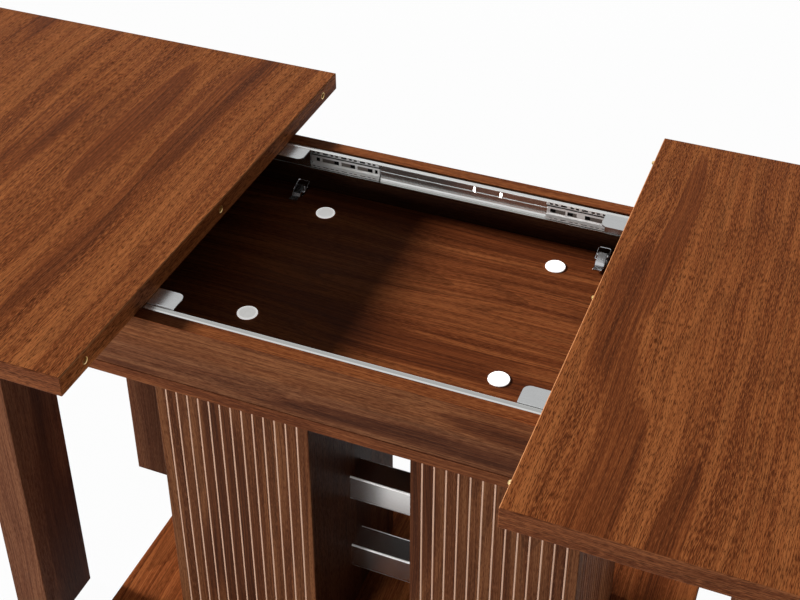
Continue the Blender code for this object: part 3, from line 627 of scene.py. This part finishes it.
# The cage's section in millimetres: in from the slide's back, and above the rail's top.
CAGE_IN = np.array([7.6, 7.6, 7.6, 7.6, 7.1, 4.2, 2.8, 2.8, 2.8, 2.8, 4.0, 7.1, 7.6,
                    7.6, 7.6, 7.6]) * MM
CAGE_UP = np.array([-3.3, -4.3, -7.3, -7.9, -8.4, -8.6, -11.6, -17.2, -24.0, -24.6, -27.2, -29.2,
                    -29.4, -29.7, -31.1, -32.7]) * MM
CAGE_WALL = 0.7 * MM
WINDOW_CELLS = (1, 13)
SLOT_CELL = 7
WINDOW_PERIOD = 31 * MM
WINDOWS = np.array([[3, 8], [11, 16], [20, 29]]) * MM
SLOTS = {"left": np.array([[3.5, 8], [12, 37], [41, 64], [68, 96], [100, 106]]) * MM,
         "right": np.array([[5, 28], [31, 45], [57, 83]]) * MM}


def inside(places, spans):
    """Say of each place whether it lies in one of the spans."""
    return np.any((places[:, None] > spans[:, 0]) & (places[:, None] < spans[:, 1]), axis=1)


def ball_cage(end_name, side_name):
    """Make a ball cage: a bent section carried along X as a grid, with cells left out as openings.

    The section runs down the upper lip, back along a flange, down the web and out again. Windows
    repeat along both lips; the web has a few long slots. A thin wall is added afterwards.
    """
    name = f"cage_{end_name}_{side_name}"
    body = f"balls_{end_name}_{side_name}"
    side, end = SIDES[side_name], ENDS[end_name]
    low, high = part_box(name)
    length = high.x - low.x
    inner = low.x if side > 0 else -high.x
    repeats = int(length // WINDOW_PERIOD)
    start = (length - repeats * WINDOW_PERIOD) / 2
    windows = WINDOWS[None] + start + np.arange(repeats)[:, None, None] * WINDOW_PERIOD
    windows = windows.reshape(-1, 2)
    slots = SLOTS[side_name]
    cuts = np.unique(np.concatenate([[0, length], windows.ravel(), slots.ravel()]))
    points = np.empty((len(cuts), len(CAGE_IN), 3))
    points[..., 0] = side * (inner + cuts)[:, None]
    points[..., 1], points[..., 2] = at_rail(CAGE_IN, CAGE_UP, end)
    middles = (cuts[:-1] + cuts[1:]) / 2
    keep = np.ones((len(cuts) - 1, len(CAGE_IN) - 1), bool)
    keep[:, WINDOW_CELLS] = ~inside(middles, windows)[:, None]
    keep[:, SLOT_CELL] = ~inside(middles, slots)
    cage = piece(f"{name}_fine", points, sheets(points.shape[:2], keep), CAGE, body)
    wall = cage.modifiers.new("Wall", "SOLIDIFY")
    wall.thickness = CAGE_WALL
    wall.offset = 0.0
    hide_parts(name)
    shade_sheets(name, body, side, end, inner, length, slots)
    ball_rows(name, body, side, end, inner, windows)


# Painted shade sheets in millimetres: highest and lowest level, and how far in from the slide's back.
ROW_HIGH, ROW_LOW, ROW_FRONT = [-4.0, -29.5], [-7.6, -31.5], [6.4, 6.4]
SLOT_HIGH, SLOT_LOW, SLOT_FRONT = [-16.9], [-24.3], [2.2]
ROW_SHORT = 1 * MM
SLOT_SPARE = 0.3 * MM
POCKET_LENGTH = 8 * MM
POCKET_THICK = 0.4 * MM
SHORTEST_SLOT_SHADE = 1 * MM


def shade_sheets(name, body, side, end, inner, length, slots):
    """Make flat boxes of painted shade behind the windows and slots.

    One box runs behind each row of windows, and a short one lies at the inner end of each slot. A
    paler box of painted shade fills the rest of the slot.
    """
    slot_start, slot_stop = slots[:, 0] - SLOT_SPARE, slots[:, 1] + SLOT_SPARE
    pocket_stop = np.minimum(slots[:, 0] + POCKET_LENGTH, slot_stop)
    rows = np.array([[ROW_SHORT, length - ROW_SHORT]] * len(ROW_HIGH))
    dark = np.concatenate([rows, np.stack([slot_start, pocket_stop], axis=1)])
    high = np.array(ROW_HIGH + SLOT_HIGH * len(slots)) * MM
    low = np.array(ROW_LOW + SLOT_LOW * len(slots)) * MM
    front = np.array(ROW_FRONT + SLOT_FRONT * len(slots)) * MM
    flat_boxes(f"{name}_pockets", body, side, end, inner + dark, high, low, front, PAINTED_SHADE_SHEET)
    rest = slot_stop > pocket_stop + SHORTEST_SLOT_SHADE
    slot_shade = np.stack([pocket_stop, slot_stop], axis=1)[rest]
    high, low, front = (values[len(rows):][rest] for values in (high, low, front))
    flat_boxes(f"{name}_film", body, side, end, inner + slot_shade, high, low, front, PAINTED_SLOT_SHADE)


def flat_boxes(name, body, side, end, span, high, low, front, finish):
    """Make flat boxes behind a cage: each an oblong section carried along its span of X."""
    back = front - POCKET_THICK
    u = np.stack([front, front, back, back], axis=1)
    v = np.stack([high, low, low, high], axis=1)
    y, z = at_rail(u, v, end)
    points = np.empty((len(span), 2, 4, 3))
    points[..., 0] = side * span[:, :, None]
    points[..., 1] = y[:, None]
    points[..., 2] = z[:, None]
    if side * end < 0:
        points = points[:, :, ::-1]
    piece(name, points, tubes(*points.shape[:3]), finish, body)


BALL_RADIUS = 1.6 * MM
BALL_ROUND = 10
BALL_STEPS = 7
BALL_POLE = 0.12
BALL_IN = np.array([5.4, 5.4]) * MM
BALL_UP = np.array([-4.8, -31.2]) * MM
PAIR_WINDOW = 6 * MM
PAIR_HALF = 2.4 * MM


def ball_rows(name, body, side, end, inner, windows):
    """Make the balls behind both rows of windows: circles of latitude of one sphere, set at each place.

    A circle at the angle of rise has the cosine of the rise as its radius and its sine as its height.
    A narrow window shows one ball, a wide one shows two. The small caps at the poles are flat.
    """
    wide = windows[:, 1] - windows[:, 0] > PAIR_WINDOW
    middles = windows.mean(axis=1)
    along = np.concatenate([middles[~wide], middles[wide] - PAIR_HALF, middles[wide] + PAIR_HALF])
    turn = np.linspace(0, 2 * np.pi, BALL_ROUND, endpoint=False)
    rise = np.linspace(-np.pi / 2 + BALL_POLE, np.pi / 2 - BALL_POLE, BALL_STEPS)[:, None]
    height = np.repeat(np.sin(rise), BALL_ROUND, axis=1)
    ball = np.stack([np.cos(rise) * np.cos(turn), np.cos(rise) * np.sin(turn), height], axis=-1)
    x = side * (inner + along)
    y, z = at_rail(BALL_IN, BALL_UP, end)
    centres = np.stack([np.tile(x, len(y)), np.repeat(y, len(x)), np.repeat(z, len(x))], axis=-1)
    points = centres[:, None, None] + ball * BALL_RADIUS
    faces = tubes(*points.shape[:3])
    piece(f"{name}_balls", points, faces, SHADE_DARK_BALL, body, smooth=True)


RIDGE_IN, RIDGE_UP = 1.4 * MM, -18.5 * MM
RIDGE_OUT, RIDGE_HALF = 0.7 * MM, 1.0 * MM
RIDGE_STEPS = 7
RIDGE_SHORT = 2 * MM


def slide_ridge(end_name):
    """Make the pressed ridge along a slide's web: a half round carried along X.

    Over the angle from -90 to 90 degrees it stands out by the cosine and rises by the sine.
    """
    low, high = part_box(f"slide_{end_name}")
    end = ENDS[end_name]
    angle = np.linspace(-np.pi / 2, np.pi / 2, RIDGE_STEPS)
    u = RIDGE_IN + np.cos(angle) * RIDGE_OUT
    v = RIDGE_UP + np.sin(angle) * RIDGE_HALF
    points = np.empty((1, 2, RIDGE_STEPS, 3))
    points[..., 0] = np.array([low.x + RIDGE_SHORT, high.x - RIDGE_SHORT])[None, :, None]
    points[..., 1], points[..., 2] = at_rail(u, v, end)
    if end > 0:
        points = points[:, :, ::-1]
    faces = tubes(*points.shape[:3])
    piece(f"slide_ridge_{end_name}", points, faces, SLIDE, "frame")


for side_name in SIDES:
    for board in FLUTE_COUNTS:
        flute_strips(board, side_name)
for end_name in ENDS:
    for side_name in SIDES:
        ball_cage(end_name, side_name)
for end_name in ENDS:
    slide_ridge(end_name)


# Studio

WHITE = (1.0, 1.0, 1.0, 1.0)
FLOOR_GREY = (0.3, 0.3, 0.3, 1.0)
FLOOR_WHITE = 0.97
FLOOR_HALF = 9.0
FLOOR_DROP = 0.2 * MM
AMBIENT = 0.05
CARD_BLACK = (0.004, 0.004, 0.004, 1.0)
SENSOR_WIDTH = 36.0
NEAREST, FARTHEST = 0.05, 60.0


def light_seen(f):
    """1 for rays from the camera and for reflections and refractions, which see white around them."""
    kinds = ("Is Camera Ray", "Is Glossy Ray", "Is Transmission Ray")
    camera_ray, glossy, through = [f.node("ShaderNodeLightPath", {}, {}, kind) for kind in kinds]
    return camera_ray.most(glossy).most(through)


def stage_sheet(name, corners, finish):
    """Make a flat four-cornered sheet that belongs to the studio and not to the table."""
    mesh = bpy.data.meshes.new(name)
    mesh.from_pydata(corners, [], [(0, 1, 2, 3)])
    mesh.materials.append(finish)
    sheet = bpy.data.objects.new(name, mesh)
    SCENE.collection.objects.link(sheet)
    return sheet


def studio_floor():
    """Make the pale floor: a flat sheet that shows nearly white and keeps the table's shadow."""
    f = new_finish("studio_floor_finish")
    seen = light_seen(f)
    pale = f.node("ShaderNodeBsdfDiffuse", {}, {"Color": FLOOR_GREY})
    white = f.node("ShaderNodeEmission", {}, {"Color": WHITE, "Strength": 1.0})
    mixed = f.node("ShaderNodeMixShader", {}, {0: seen * FLOOR_WHITE, 1: pale, 2: white})
    f.node("ShaderNodeOutputMaterial", {}, {"Surface": mixed})
    corners = [(across * FLOOR_HALF, deep * FLOOR_HALF, -FLOOR_DROP)
               for across, deep in ((-1, -1), (1, -1), (1, 1), (-1, 1))]
    stage_sheet("studio_floor", corners, f.owner)


def studio_world():
    """Make the surroundings: white where they are seen, a soft even light otherwise."""
    SCENE.world = bpy.data.worlds.new("studio")
    f = Finish(SCENE.world)
    strength = light_seen(f) * (1 - AMBIENT) + AMBIENT
    light = f.node("ShaderNodeBackground", {}, {"Color": WHITE, "Strength": strength})
    f.node("ShaderNodeOutputWorld", {}, {"Surface": light})


def dark_card(name, half_width, distance, low, high):
    """Make an upright dark sheet behind the bars that only reflections see: a studio flag for steel."""
    f = new_finish(f"{name}_finish")
    f.surface(Base_Color=CARD_BLACK, Roughness=1.0, Specular_IOR_Level=0.0)
    corners = [(side * half_width, distance, level)
               for side, level in ((-1, low), (1, low), (1, high), (-1, high))]
    card = stage_sheet(name, corners, f.owner)
    card.visible_camera = False
    card.visible_diffuse = False
    card.visible_shadow = False


def aimed(right, back, place):
    """Turn the directions of an object's right and back, and its place, into its matrix."""
    turn = np.stack([right, np.cross(back, right), back], axis=1)
    return Matrix([[*row, at] for row, at in zip(turn, place)] + [[0, 0, 0, 1]])


def far_key(name, elevation, turn, softness, strength):
    """Make the far soft key: it comes from the left end, raised and turned to the back, in degrees.

    Steel and wood don't reflect it, so that it leaves no glare.
    """
    lamp = bpy.data.lights.new(name, "SUN")
    lamp.angle = math.radians(softness)
    lamp.energy = strength
    obj = bpy.data.objects.new(name, lamp)
    obj.rotation_euler = (0, math.radians(elevation - 90), math.radians(-turn))
    obj.visible_glossy = False
    SCENE.collection.objects.link(obj)


def softbox(name, place, target, size, power, reflected=False):
    """Make a square area light that looks at a point; steel shows it only where reflected says so."""
    lamp = bpy.data.lights.new(name, "AREA")
    lamp.size = size
    lamp.energy = power
    obj = bpy.data.objects.new(name, lamp)
    obj.visible_glossy = reflected
    back = np.array(place) - np.array(target)
    back /= np.linalg.norm(back)
    right = np.cross([0, 0, 1], back)
    right /= np.linalg.norm(right)
    obj.matrix_world = aimed(right, back, place)
    SCENE.collection.objects.link(obj)


def camera(place, azimuth, elevation, lens, shift_y):
    """Make the camera: it looks along an azimuth from +Y, and down by an elevation, in degrees."""
    lens_data = bpy.data.cameras.new("camera")
    lens_data.lens = lens
    lens_data.sensor_width = SENSOR_WIDTH
    lens_data.shift_y = shift_y
    lens_data.clip_start = NEAREST
    lens_data.clip_end = FARTHEST
    obj = bpy.data.objects.new("camera", lens_data)
    az, el = math.radians(azimuth), math.radians(elevation)
    right = np.array([math.cos(az), math.sin(az), 0])
    back = np.array([math.sin(az) * math.cos(el), -math.cos(az) * math.cos(el), math.sin(el)])
    obj.matrix_world = aimed(right, back, place)
    SCENE.collection.objects.link(obj)
    SCENE.camera = obj


studio_floor()
studio_world()
far_key("key_left", elevation=20.1, turn=4.0, softness=8.0, strength=8.1)
softbox("front_fill", place=(-1.2, -3.2, 0.30), target=(0.0, 0.0, 0.35), size=0.6, power=48)
softbox("slide_fill", place=(-0.7, -3.3, 0.98), target=(0.0, 0.2, 0.71), size=0.3, power=52,
        reflected=True)
softbox("right_fill", place=(3.6, -0.1, 0.42), target=(0.5, 0.0, 0.42), size=0.8, power=64)
softbox("rear_fill", place=(-0.7, 3.5, 0.42), target=(0.0, 0.0, 0.42), size=0.8, power=56)
dark_card("dark_card", half_width=0.45, distance=0.262, low=0.31, high=0.72)
camera(place=(0.5471, -1.3661, 1.8310), azimuth=21.80, elevation=32.89, lens=60.82, shift_y=-0.1656)
SCENE.view_settings.view_transform = "Standard"
